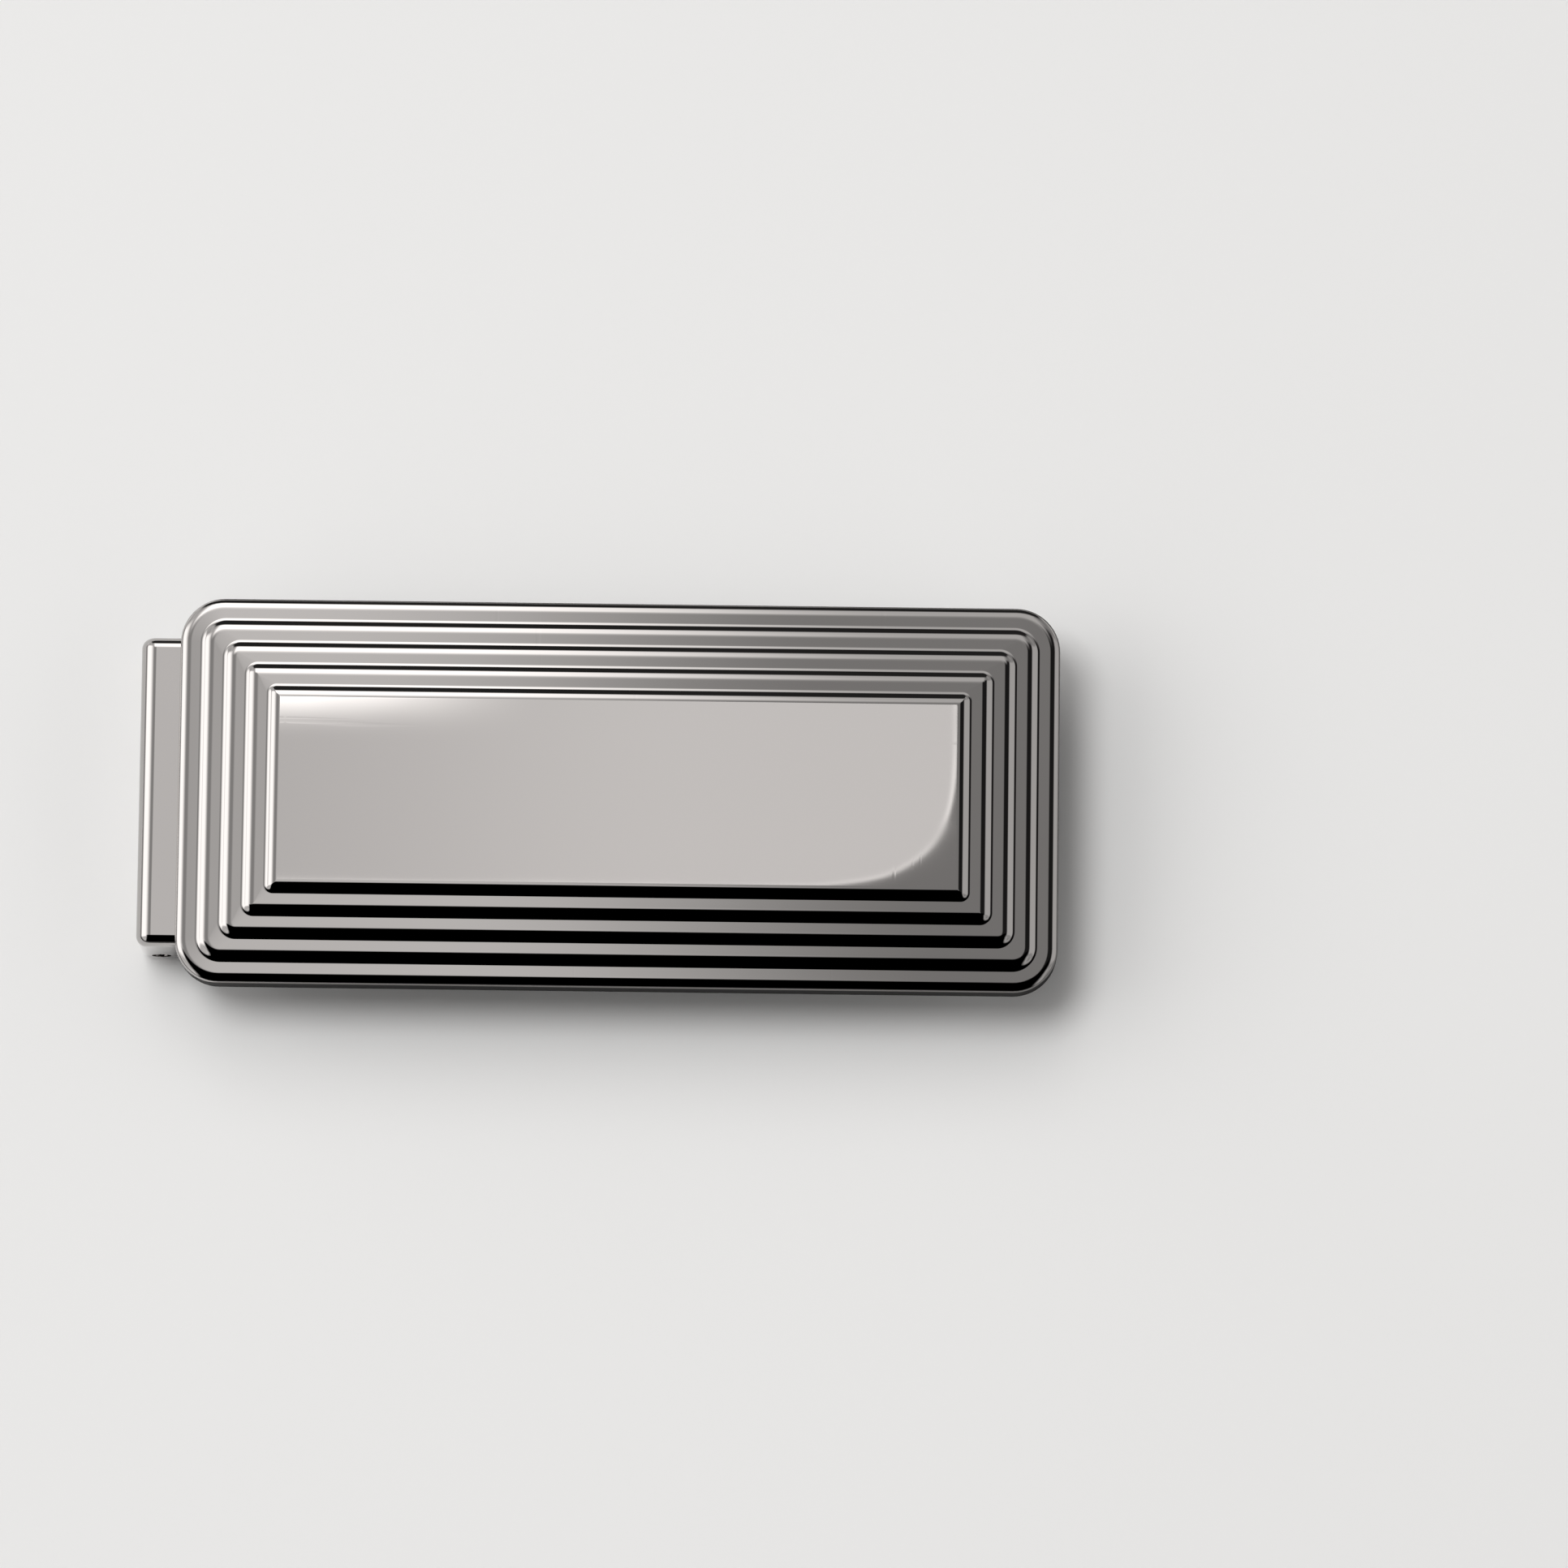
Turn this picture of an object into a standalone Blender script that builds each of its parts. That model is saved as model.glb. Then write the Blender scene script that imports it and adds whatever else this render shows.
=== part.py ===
"""Hinged money clip: a tiered face plate on a spring-loaded clip arm.

Metres, +Z up. The clip lies on its arm with the face plate on top. +X runs away from the
hinge along the clip and +Y across it. The origin is at the middle of the footprint.
"""

from math import asin, atan2, cos, degrees, hypot, pi, radians, sin, sqrt

import bmesh
import bpy
from mathutils import Matrix, Vector

# Face plate, a casting with a hollow back
PLATE_LENGTH = 0.0576
PLATE_WIDTH = 0.0254
PLATE_WALL = 0.0011
PLATE_CORNER_RADIUS = 0.0029
TIER_COUNT = 5
TIER_WIDTH = 0.00148
TIER_RISE = 0.0003
TIER_CORNER_SHARE = 0.5  # each tier's corner radius against the one outside it
TIER_EDGE_RADIUS = 0.00012
BLIND_HOLE_ROOF = 0.0007  # metal left over a blind hole

# Space for the notes, between the arm and the back of the plate
NOTE_GAP = 0.00445

# Hinge housing, a folded cap that stands out past the plate's end
HOUSING_REACH = 0.0026
HOUSING_SIDE_STEP = 0.0025  # narrower than the plate on each side
HOUSING_DROP = 0.0007  # its front face below the plate's outer tier
HOUSING_CORNER_RADIUS = 0.0010
HOUSING_SHEET = 0.0006
HOUSING_END_WALL = 0.00085
CHEEK_THICKNESS = 0.0010
CHEEK_LENGTH = 0.0081
FLANGE_LENGTH = 0.0136

# Hinge
PIN_RADIUS = 0.0006
PIN_INSET = 0.00012  # each end of the pin below the cheek's face
BARREL_WALL = 0.0008
LOBE_MARGIN = 0.00005  # cheek round the pin, outside the barrel
LOBE_HEIGHT = 0.00015  # lowest point of the cheeks over the ground
CAM_DEPTH = 0.00025  # cam flat cut into the barrel
WASHER_THICKNESS = 0.00025
WASHER_MARGIN = 0.0002  # inside the barrel
FOOT_LENGTH = 0.0072  # from the pin to the end of the barrel's foot
FOOT_THICKNESS = 0.0008

# Clip arm, a bowed spring-steel strip
ARM_SIDE_GAP = 0.0005  # to each cheek
ARM_THICKNESS = 0.0008
ARM_SHORT = 0.0021  # its tip inside the plate's free end
ARM_RISE_LENGTH = 0.0120
ARM_LIP_LENGTH = 0.0070
ARM_LIP_DROP = 0.0014
ARM_END_RADIUS = 0.0045
ARM_EDGE_RADIUS = 0.00015

# Back plate
BACK_THICKNESS = 0.0005
BACK_START = 0.0080  # from the plate's hinge end

# Leaf spring
SPRING_SIDE_GAP = 0.0010  # to the head of each housing rivet
SPRING_THICKNESS = 0.0003
SPRING_END = 0.0230  # from the plate's hinge end
SPRING_BEND_MARGIN = 0.0010  # it is down before it meets the flange

# Rivets: shank radius, head radius, head thickness
BACK_RIVET = (0.0005, 0.0010, 0.00025)
HOUSING_RIVET = (0.00055, 0.0010, 0.0003)
SPRING_RIVET = (0.00045, 0.0008, 0.00022)
FOOT_RIVET = (0.0006, 0.0011, 0.0003)
BACK_RIVET_INSET = (0.0041, 0.0031)  # from the plate's free end and its sides
BACK_RIVET_FROM_START = 0.0055
HOUSING_RIVET_INSET = (0.0021, 0.0027)  # from the flange's end and its sides
SPRING_RIVET_INSET = (0.0035, 0.0020)  # from the leaf's end and its sides
FOOT_RIVET_FROM_PIN = 0.0048
FOOT_RIVET_SIDE_INSET = 0.0032
BOSS_WALL = 0.0009

CLEARANCE = 0.00005  # between pieces that touch
CREST_CLEARANCE = 0.0001  # between the arm's crest and the plate's back
SWING_CLEARANCE = 0.0002  # round the turning barrel
OVERSHOOT = 0.001  # how far a cutter runs past the wall it cuts
BURY = 0.0002  # how deep a joined piece goes into the one it joins

# Heights that follow from the sizes, from the ground up
barrel_radius = PIN_RADIUS + BARREL_WALL
lobe_radius = barrel_radius + LOBE_MARGIN
pin_height = LOBE_HEIGHT + lobe_radius
plate_back = ARM_THICKNESS + NOTE_GAP
back_top = plate_back + BACK_THICKNESS
spring_room = SPRING_THICKNESS + 4 * CLEARANCE
flange_bottom = back_top + spring_room
spring_top = flange_bottom + SPRING_THICKNESS
housing_front = flange_bottom + HOUSING_SHEET
cavity_roof = housing_front + CLEARANCE
outer_top = housing_front + HOUSING_DROP
panel_top = outer_top + (TIER_COUNT - 1) * TIER_RISE

# Places along the clip
hinge_end = -(PLATE_LENGTH + HOUSING_REACH) / 2
plate_start = hinge_end + HOUSING_REACH
plate_end = plate_start + PLATE_LENGTH
pin_x = hinge_end + lobe_radius
cheek_end = hinge_end + CHEEK_LENGTH
flange_end = hinge_end + FLANGE_LENGTH
back_start = plate_start + BACK_START
spring_end = plate_start + SPRING_END
spring_rivet_x = spring_end - SPRING_RIVET_INSET[0]
barrel_half_chord = sqrt(barrel_radius**2 - (pin_height - ARM_THICKNESS) ** 2)
arm_start = pin_x + barrel_half_chord + SWING_CLEARANCE
arm_end = plate_end - ARM_SHORT
arm_crest = arm_end - ARM_LIP_LENGTH
arm_flat_end = arm_crest - ARM_RISE_LENGTH

# Widths across it
housing_width = PLATE_WIDTH - 2 * HOUSING_SIDE_STEP
cheek_gap = housing_width - 2 * CHEEK_THICKNESS
barrel_length = cheek_gap - 2 * (WASHER_THICKNESS + 2 * CLEARANCE)
arm_width = cheek_gap - 2 * ARM_SIDE_GAP
spring_side = HOUSING_RIVET_INSET[1] + HOUSING_RIVET[1] + SPRING_SIDE_GAP
spring_width = housing_width - 2 * spring_side

bore_radius = PIN_RADIUS + CLEARANCE
across = Matrix.Rotation(pi / 2, 4, "X")  # a drawing in X and Y stood up in X and Z

SIDES = (("near", -1), ("far", 1))


def clear_scene():
    for obj in list(bpy.data.objects):
        bpy.data.objects.remove(obj, do_unlink=True)


def make_collection(name):
    collection = bpy.data.collections.new(name)
    bpy.context.scene.collection.children.link(collection)
    return collection


def make_material(name, color, metallic, roughness):
    material = bpy.data.materials.new(name)
    material.use_nodes = True
    shader = material.node_tree.nodes["Principled BSDF"]
    shader.inputs["Base Color"].default_value = (*color, 1)
    shader.inputs["Metallic"].default_value = metallic
    shader.inputs["Roughness"].default_value = roughness
    return material


def add(name, mesh, material=None, location=(0, 0, 0)):
    """Link a mesh as a piece of the clip or, with no material, as a hidden helper."""
    obj = bpy.data.objects.new(name, mesh)
    obj.location = location
    if material:
        clip.objects.link(obj)
        mesh.materials.clear()
        mesh.materials.append(material)
        mesh.shade_smooth()
        mesh.set_sharp_from_angle(angle=radians(35))
    else:
        cutters.objects.link(obj)
        obj.hide_render = True
        obj.display_type = "WIRE"
    return obj


def arc(center, radius, start, end, steps):
    """Points on an arc, angles in degrees."""
    angles = [radians(start + (end - start) * step / steps) for step in range(steps + 1)]
    return [(center[0] + radius * cos(a), center[1] + radius * sin(a)) for a in angles]


def rounded_rectangle(low, high, radius, steps=6):
    corners = (
        (high[0] - radius, high[1] - radius, 0),
        (low[0] + radius, high[1] - radius, 90),
        (low[0] + radius, low[1] + radius, 180),
        (high[0] - radius, low[1] + radius, 270),
    )
    return [
        point
        for x, y, turn in corners
        for point in arc((x, y), radius, turn, turn + 90, steps)
    ]


def drawn_mesh(name, points, half_depth, closed, matrix):
    """A 2D curve made a mesh: a filled solid where it is closed, a ribbon where it is open."""
    curve = bpy.data.curves.new(name, "CURVE")
    curve.dimensions = "2D"
    curve.fill_mode = "BOTH" if closed else "NONE"
    curve.extrude = half_depth
    spline = curve.splines.new("POLY")
    spline.points.add(len(points) - 1)
    spline.use_cyclic_u = closed
    for point, (x, y) in zip(spline.points, points):
        point.co = (x, y, 0, 1)
    drawing = bpy.data.objects.new(name, curve)
    drawing.matrix_world = matrix
    bpy.context.scene.collection.objects.link(drawing)
    graph = bpy.context.evaluated_depsgraph_get()
    mesh = bpy.data.meshes.new_from_object(drawing.evaluated_get(graph))
    mesh.transform(matrix)
    bpy.data.objects.remove(drawing)
    bm = bmesh.new()
    bm.from_mesh(mesh)
    bmesh.ops.remove_doubles(bm, verts=bm.verts, dist=1e-6)
    bmesh.ops.recalc_face_normals(bm, faces=bm.faces)
    bm.to_mesh(mesh)
    bm.free()
    return mesh


def slab(name, points, low, high):
    """A plan outline raised from one height to another."""
    middle = Matrix.Translation((0, 0, (low + high) / 2))
    return drawn_mesh(name, points, (high - low) / 2, True, middle)


def side_solid(name, points, width):
    """An outline in X and Z, its width across the clip."""
    return drawn_mesh(name, points, width / 2, True, across)


def strip(name, points, width, thickness, material):
    """Sheet bent along a centre line in X and Z."""
    obj = add(name, drawn_mesh(name, points, width / 2, False, across), material)
    wall = obj.modifiers.new("Sheet", "SOLIDIFY")
    wall.thickness = thickness
    wall.offset = 0
    wall.use_even_offset = True
    return obj


def box(name, low, high):
    bm = bmesh.new()
    bmesh.ops.create_cube(bm, size=1)
    size = Vector(high) - Vector(low)
    bmesh.ops.scale(bm, verts=bm.verts, vec=size)
    bmesh.ops.translate(bm, verts=bm.verts, vec=Vector(low) + size / 2)
    mesh = bpy.data.meshes.new(name)
    bm.to_mesh(mesh)
    bm.free()
    return mesh


def cylinder(name, center, radius, low, high, axis="Z", sides=32):
    """A cylinder along Z between two heights, or along Y between two sides."""
    bm = bmesh.new()
    bmesh.ops.create_cone(
        bm,
        cap_ends=True,
        segments=sides,
        radius1=radius,
        radius2=radius,
        depth=high - low,
    )
    if axis == "Y":
        bmesh.ops.rotate(bm, verts=bm.verts, matrix=across.to_3x3())
        place = (center[0], (low + high) / 2, center[1])
    else:
        place = (center[0], center[1], (low + high) / 2)
    bmesh.ops.translate(bm, verts=bm.verts, vec=place)
    mesh = bpy.data.meshes.new(name)
    bm.to_mesh(mesh)
    bm.free()
    return mesh


def combine(obj, mesh, operation):
    helper = add(f"{obj.name}_{mesh.name}", mesh)
    modifier = obj.modifiers.new(mesh.name, "BOOLEAN")
    modifier.operation = operation
    modifier.solver = "EXACT"
    modifier.object = helper


def cut(obj, mesh):
    combine(obj, mesh, "DIFFERENCE")


def join(obj, mesh):
    combine(obj, mesh, "UNION")


def soften(obj, radius, segments=2, angle=50):
    weld = obj.modifiers.new("Weld", "WELD")
    weld.merge_threshold = 1e-6
    bevel = obj.modifiers.new("Edges", "BEVEL")
    bevel.width = radius
    bevel.segments = segments
    bevel.limit_method = "ANGLE"
    bevel.angle_limit = radians(angle)


def turned(name, profile, material, location, steps=24):
    """A profile of (radius, height) pairs, top to bottom on its outer side, turned about Z."""
    mesh = bpy.data.meshes.new(name)
    points = [(radius, 0, height) for radius, height in profile]
    mesh.from_pydata(points, [(i, i + 1) for i in range(len(points) - 1)], [])
    obj = add(name, mesh, material, location)
    screw = obj.modifiers.new("Turn", "SCREW")
    screw.steps = steps
    screw.render_steps = steps
    screw.use_merge_vertices = True
    screw.merge_threshold = 1e-6
    screw.use_smooth_shade = True
    return obj


def plate_tier(index):
    """Plan outline of one tier, 0 the outermost."""
    inset = index * TIER_WIDTH
    low = (plate_start + inset, -PLATE_WIDTH / 2 + inset)
    high = (plate_end - inset, PLATE_WIDTH / 2 - inset)
    radius = PLATE_CORNER_RADIUS * TIER_CORNER_SHARE**index
    return rounded_rectangle(low, high, radius)


def tier_slab(index, bottom):
    """One tier as a mesh, with the edge round its top softened."""
    mesh = slab(f"tier_{index}", plate_tier(index), bottom, outer_top + index * TIER_RISE)
    bm = bmesh.new()
    bm.from_mesh(mesh)
    top = max(v.co.z for v in bm.verts)
    rim = [
        edge
        for edge in bm.edges
        if min(v.co.z for v in edge.verts) > top - 1e-7
        and any(abs(face.normal.z) < 0.5 for face in edge.link_faces)
    ]
    bmesh.ops.bevel(
        bm, geom=rim, offset=TIER_EDGE_RADIUS, segments=2, profile=0.5, affect="EDGES"
    )
    bm.to_mesh(mesh)
    bm.free()
    return mesh


def back_rivet_places():
    end_inset, side_inset = BACK_RIVET_INSET
    columns = (back_start + BACK_RIVET_FROM_START, plate_end - end_inset)
    y = PLATE_WIDTH / 2 - side_inset
    return [(x, side * y) for x in columns for _, side in SIDES]


def housing_rivet_places():
    end_inset, side_inset = HOUSING_RIVET_INSET
    y = housing_width / 2 - side_inset
    return [(flange_end - end_inset, side * y) for _, side in SIDES]


def spring_rivet_places():
    y = spring_width / 2 - SPRING_RIVET_INSET[1]
    return [(spring_rivet_x, side * y) for _, side in SIDES]


def foot_rivet_places():
    y = arm_width / 2 - FOOT_RIVET_SIDE_INSET
    return [(pin_x + FOOT_RIVET_FROM_PIN, side * y) for _, side in SIDES]


def blind_hole_top(place, radius):
    """As high as a blind hole may go under the tier that lies over it."""
    x, y = place
    inset = min(x - plate_start, plate_end - x, PLATE_WIDTH / 2 - abs(y)) - radius
    tier = min(int(inset / TIER_WIDTH), TIER_COUNT - 1)
    return outer_top + tier * TIER_RISE - BLIND_HOLE_ROOF


def make_face_plate():
    plate = add("face_plate", tier_slab(0, plate_back), gunmetal)
    for index in range(1, TIER_COUNT):
        join(plate, tier_slab(index, outer_top - BURY))
    wall = PLATE_WALL
    hollow = rounded_rectangle(
        (plate_start + wall, -PLATE_WIDTH / 2 + wall),
        (plate_end - wall, PLATE_WIDTH / 2 - wall),
        PLATE_CORNER_RADIUS - wall,
    )
    cut(plate, slab("hollow", hollow, plate_back - OVERSHOOT, cavity_roof))
    half_notch = housing_width / 2 + CLEARANCE
    notch_low = (plate_start - OVERSHOOT, -half_notch, plate_back - OVERSHOOT)
    cut(plate, box("notch", notch_low, (plate_start + 2 * wall, half_notch, cavity_roof)))
    boss_radius = BACK_RIVET[0] + BOSS_WALL
    for number, place in enumerate(back_rivet_places(), 1):
        bottom = back_top + CLEARANCE
        boss = cylinder(f"boss_{number}", place, boss_radius, bottom, cavity_roof + BURY)
        join(plate, boss)
    pad_x = SPRING_RIVET[0] + BOSS_WALL
    pad_y = spring_rivet_places()[1][1] + pad_x
    pad_low = (spring_rivet_x - pad_x, -pad_y, spring_top + CLEARANCE)
    join(plate, box("pad", pad_low, (spring_rivet_x + pad_x, pad_y, cavity_roof + BURY)))
    holes = (
        ("back", back_rivet_places(), BACK_RIVET),
        ("housing", housing_rivet_places(), HOUSING_RIVET),
        ("spring", spring_rivet_places(), SPRING_RIVET),
    )
    for kind, places, rivet in holes:
        for number, place in enumerate(places, 1):
            radius = rivet[0] + CLEARANCE
            top = blind_hole_top(place, radius)
            name = f"{kind}_hole_{number}"
            cut(plate, cylinder(name, place, radius, plate_back, top, sides=24))


def make_back_plate():
    gap = PLATE_WALL + CLEARANCE
    outline = rounded_rectangle(
        (back_start, -PLATE_WIDTH / 2 + gap),
        (plate_end - gap, PLATE_WIDTH / 2 - gap),
        PLATE_CORNER_RADIUS - gap,
    )
    back = add("back_plate", slab("back_plate", outline, plate_back, back_top), steel)
    shank, head, head_thickness = BACK_RIVET
    for number, place in enumerate(back_rivet_places(), 1):
        low = plate_back - OVERSHOOT
        hole = cylinder(
            f"hole_{number}", place, shank + CLEARANCE, low, back_top + OVERSHOOT, sides=24
        )
        cut(back, hole)
        seat = cylinder(
            f"seat_{number}",
            place,
            head + CLEARANCE,
            low,
            plate_back + head_thickness + 2 * CLEARANCE,
            sides=24,
        )
        cut(back, seat)


def rivet_profile(rivet, length):
    """A flat-headed rivet with its head at the bottom, at height 0."""
    shank, head, head_thickness = rivet
    return [
        (0, length),
        (shank, length),
        (shank, head_thickness),
        (head, head_thickness),
        (head, 0),
        (0, 0),
    ]


def make_plate_rivets():
    kinds = (
        ("back_plate_rivet", back_rivet_places(), BACK_RIVET, plate_back + CLEARANCE),
        (
            "housing_rivet",
            housing_rivet_places(),
            HOUSING_RIVET,
            flange_bottom - CLEARANCE - HOUSING_RIVET[2],
        ),
        (
            "spring_rivet",
            spring_rivet_places(),
            SPRING_RIVET,
            spring_top - SPRING_THICKNESS - CLEARANCE - SPRING_RIVET[2],
        ),
    )
    for kind, places, rivet, bottom in kinds:
        for number, place in enumerate(places, 1):
            top = blind_hole_top(place, rivet[0] + CLEARANCE) - CLEARANCE
            profile = rivet_profile(rivet, top - bottom)
            turned(f"{kind}_{number}", profile, rivet_metal, (*place, bottom))


def housing_outline():
    """Side view: the cheek's lobe round the pin, the rounded front corner and the flange."""
    reach = (cheek_end - pin_x, plate_back - pin_height)
    # The cheek's lower edge leaves the lobe along a tangent.
    tangent = atan2(reach[1], reach[0]) - pi / 2 + asin(lobe_radius / hypot(*reach))
    lobe = arc((pin_x, pin_height), lobe_radius, 180, 360 + degrees(tangent), 14)
    front = arc(
        (hinge_end + HOUSING_CORNER_RADIUS, housing_front - HOUSING_CORNER_RADIUS),
        HOUSING_CORNER_RADIUS,
        90,
        180,
        6,
    )
    return [
        *lobe,
        (cheek_end, plate_back),
        (cheek_end, flange_bottom),
        (flange_end, flange_bottom),
        (flange_end, housing_front),
        *front,
    ]


def make_hinge_housing():
    outline = side_solid("hinge_housing", housing_outline(), housing_width)
    housing = add("hinge_housing", outline, gunmetal)
    inner_end = hinge_end + HOUSING_END_WALL
    wall_bottom = pin_height + barrel_radius + SWING_CLEARANCE
    inside = [
        (hinge_end - OVERSHOOT, -OVERSHOOT),
        (cheek_end + OVERSHOOT, -OVERSHOOT),
        (cheek_end + OVERSHOOT, flange_bottom - OVERSHOOT),
        (cheek_end, flange_bottom),
        (inner_end, flange_bottom),
        (inner_end, wall_bottom),
        (hinge_end - OVERSHOOT, wall_bottom),
    ]
    cut(housing, side_solid("inside", inside, cheek_gap))
    reach = housing_width / 2 + OVERSHOOT
    bore = cylinder("bore", (pin_x, pin_height), bore_radius, -reach, reach, "Y")
    cut(housing, bore)
    for number, place in enumerate(housing_rivet_places(), 1):
        hole = cylinder(
            f"hole_{number}",
            place,
            HOUSING_RIVET[0] + CLEARANCE,
            flange_bottom - OVERSHOOT,
            housing_front + OVERSHOOT,
            sides=24,
        )
        cut(housing, hole)


def make_hinge_pin():
    half = housing_width / 2 - PIN_INSET
    center = (pin_x, pin_height)
    pin = add("hinge_pin", cylinder("hinge_pin", center, PIN_RADIUS, -half, half, "Y"), steel)
    soften(pin, PIN_INSET)


def make_washers():
    outer = cheek_gap / 2 - CLEARANCE
    for side_name, side in SIDES:
        name = f"pin_washer_{side_name}"
        ends = sorted((side * outer, side * (outer - WASHER_THICKNESS)))
        center = (pin_x, pin_height)
        washer = add(name, cylinder(name, center, barrel_radius - WASHER_MARGIN, *ends, "Y"), brass)
        reach = housing_width / 2
        cut(washer, cylinder("bore", center, bore_radius, -reach, reach, "Y"))


def spring_line():
    """Centre line of the leaf: flat on its pad, under the flange, then down to the cam."""
    half = SPRING_THICKNESS / 2
    on_pad = spring_top - half
    under_flange = flange_bottom - CLEARANCE - half
    on_cam = pin_height + barrel_radius + SWING_CLEARANCE + half
    pad_start = spring_rivet_x - SPRING_RIVET_INSET[0]
    bend = back_start - CLEARANCE
    tip = pin_x - barrel_radius / 4
    bend_end = flange_end + SPRING_BEND_MARGIN
    points = [(spring_end, on_pad), (pad_start, on_pad), (bend_end, under_flange)]
    steps = 12
    for step in range(steps + 1):
        share = step / steps
        x = bend + (tip - bend) * share
        z = under_flange + (on_cam - under_flange) * (1 - cos(pi * share)) / 2
        points.append((x, z))
    return points


def make_leaf_spring():
    spring = strip("leaf_spring", spring_line(), spring_width, SPRING_THICKNESS, steel)
    for number, place in enumerate(spring_rivet_places(), 1):
        hole = cylinder(
            f"hole_{number}",
            place,
            SPRING_RIVET[0] + CLEARANCE,
            plate_back,
            cavity_roof,
            sides=24,
        )
        cut(spring, hole)


def arm_line():
    """Centre line of the arm: flat on its underside, bowed up to the plate, then flared away."""
    low = ARM_THICKNESS / 2
    crest = plate_back - CREST_CLEARANCE - ARM_THICKNESS / 2
    points = [(arm_start, low), ((arm_start + arm_flat_end) / 2, low)]
    rise_steps = 14
    for step in range(rise_steps + 1):
        share = step / rise_steps
        z = low + (crest - low) * (1 - cos(pi * share)) / 2
        points.append((arm_flat_end + ARM_RISE_LENGTH * share, z))
    lip_steps = 6
    for step in range(1, lip_steps + 1):
        share = step / lip_steps
        x = arm_crest + (ARM_LIP_LENGTH + BURY) * share
        points.append((x, crest - ARM_LIP_DROP * share**2))
    return points


def make_clip_arm():
    arm = strip("clip_arm", arm_line(), arm_width, ARM_THICKNESS, gunmetal)
    half = arm_width / 2
    round_x = arm_end - ARM_END_RADIUS
    round_y = half - ARM_END_RADIUS
    shape = [
        (round_x, half + OVERSHOOT),
        (arm_start - OVERSHOOT, half + OVERSHOOT),
        (arm_start - OVERSHOOT, -half - OVERSHOOT),
        (round_x, -half - OVERSHOOT),
        *arc((round_x, -round_y), ARM_END_RADIUS, 270, 360, 8),
        *arc((round_x, round_y), ARM_END_RADIUS, 0, 90, 8),
    ]
    trim = slab("end_round", shape, -OVERSHOOT, plate_back + OVERSHOOT)
    combine(arm, trim, "INTERSECT")
    shank, head, head_thickness = FOOT_RIVET
    for number, place in enumerate(foot_rivet_places(), 1):
        high = ARM_THICKNESS + OVERSHOOT
        hole = cylinder(
            f"hole_{number}", place, shank + CLEARANCE, -OVERSHOOT, high, sides=24
        )
        cut(arm, hole)
        seat_top = head_thickness + 2 * CLEARANCE
        seat = cylinder(
            f"seat_{number}", place, head + CLEARANCE, -OVERSHOOT, seat_top, sides=24
        )
        cut(arm, seat)
    soften(arm, ARM_EDGE_RADIUS)


def barrel_outline():
    """Side view: a round barrel with a cam flat on top and a foot that lies on the arm."""
    foot_low = ARM_THICKNESS + CLEARANCE - pin_height
    foot_high = foot_low + FOOT_THICKNESS
    start = degrees(asin(foot_high / barrel_radius))
    end = 360 + degrees(asin(foot_low / barrel_radius))
    round_part = arc((0, 0), barrel_radius, start, end, 36)
    cam = [(x, min(z, barrel_radius - CAM_DEPTH)) for x, z in round_part]
    outline = cam + [(FOOT_LENGTH, foot_low), (FOOT_LENGTH, foot_high)]
    return [(pin_x + x, pin_height + z) for x, z in outline]


def make_hinge_barrel():
    solid = side_solid("hinge_barrel", barrel_outline(), barrel_length)
    barrel = add("hinge_barrel", solid, steel)
    reach = barrel_length / 2 + OVERSHOOT
    bore = cylinder("bore", (pin_x, pin_height), bore_radius, -reach, reach, "Y")
    cut(barrel, bore)
    for number, place in enumerate(foot_rivet_places(), 1):
        high = pin_height + OVERSHOOT
        hole = cylinder(f"hole_{number}", place, FOOT_RIVET[0] + CLEARANCE, 0, high, sides=24)
        cut(barrel, hole)


def hang_on_pin():
    """Everything that swings with the face plate hangs on an empty on the pin's axis."""
    hinge = bpy.data.objects.new("plate_hinge", None)
    hinge.empty_display_size = PLATE_WIDTH / 2
    hinge.location = (pin_x, 0, pin_height)
    clip.objects.link(hinge)
    bpy.context.view_layer.update()
    fixed = ("clip_arm", "hinge_barrel", "barrel_rivet")
    for obj in clip.objects:
        if obj.type == "MESH" and not obj.name.startswith(fixed):
            obj.parent = hinge
            obj.matrix_parent_inverse = hinge.matrix_world.inverted()


def make_foot_rivets():
    """Rivets through the arm and the barrel's foot, a flush head below and a flat one above."""
    shank, head, head_thickness = FOOT_RIVET
    upper = ARM_THICKNESS + FOOT_THICKNESS + CLEARANCE
    profile = [
        (0, upper + head_thickness),
        (head, upper + head_thickness),
        (head, upper),
        (shank, upper),
        (shank, head_thickness),
        (head, head_thickness),
        (head, 0),
        (0, 0),
    ]
    for number, (x, y) in enumerate(foot_rivet_places(), 1):
        turned(f"barrel_rivet_{number}", profile, rivet_metal, (x, y, CLEARANCE))


clear_scene()
clip = make_collection("money_clip")
cutters = make_collection("cutters")
gunmetal = make_material("polished_gunmetal", (0.33, 0.31, 0.30), 1.0, 0.12)
steel = make_material("spring_steel", (0.45, 0.44, 0.43), 1.0, 0.25)
rivet_metal = make_material("rivet_steel", (0.52, 0.50, 0.48), 1.0, 0.3)
brass = make_material("washer_brass", (0.70, 0.50, 0.20), 1.0, 0.3)

make_face_plate()
make_back_plate()
make_plate_rivets()
make_hinge_housing()
make_hinge_pin()
make_washers()
make_leaf_spring()
make_clip_arm()
make_hinge_barrel()
make_foot_rivets()
hang_on_pin()
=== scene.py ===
import bpy
import bmesh
from math import asin, atan2, cos, degrees, hypot, pi, radians, sin, sqrt, tan
from mathutils import Matrix, Quaternion, Vector


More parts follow.
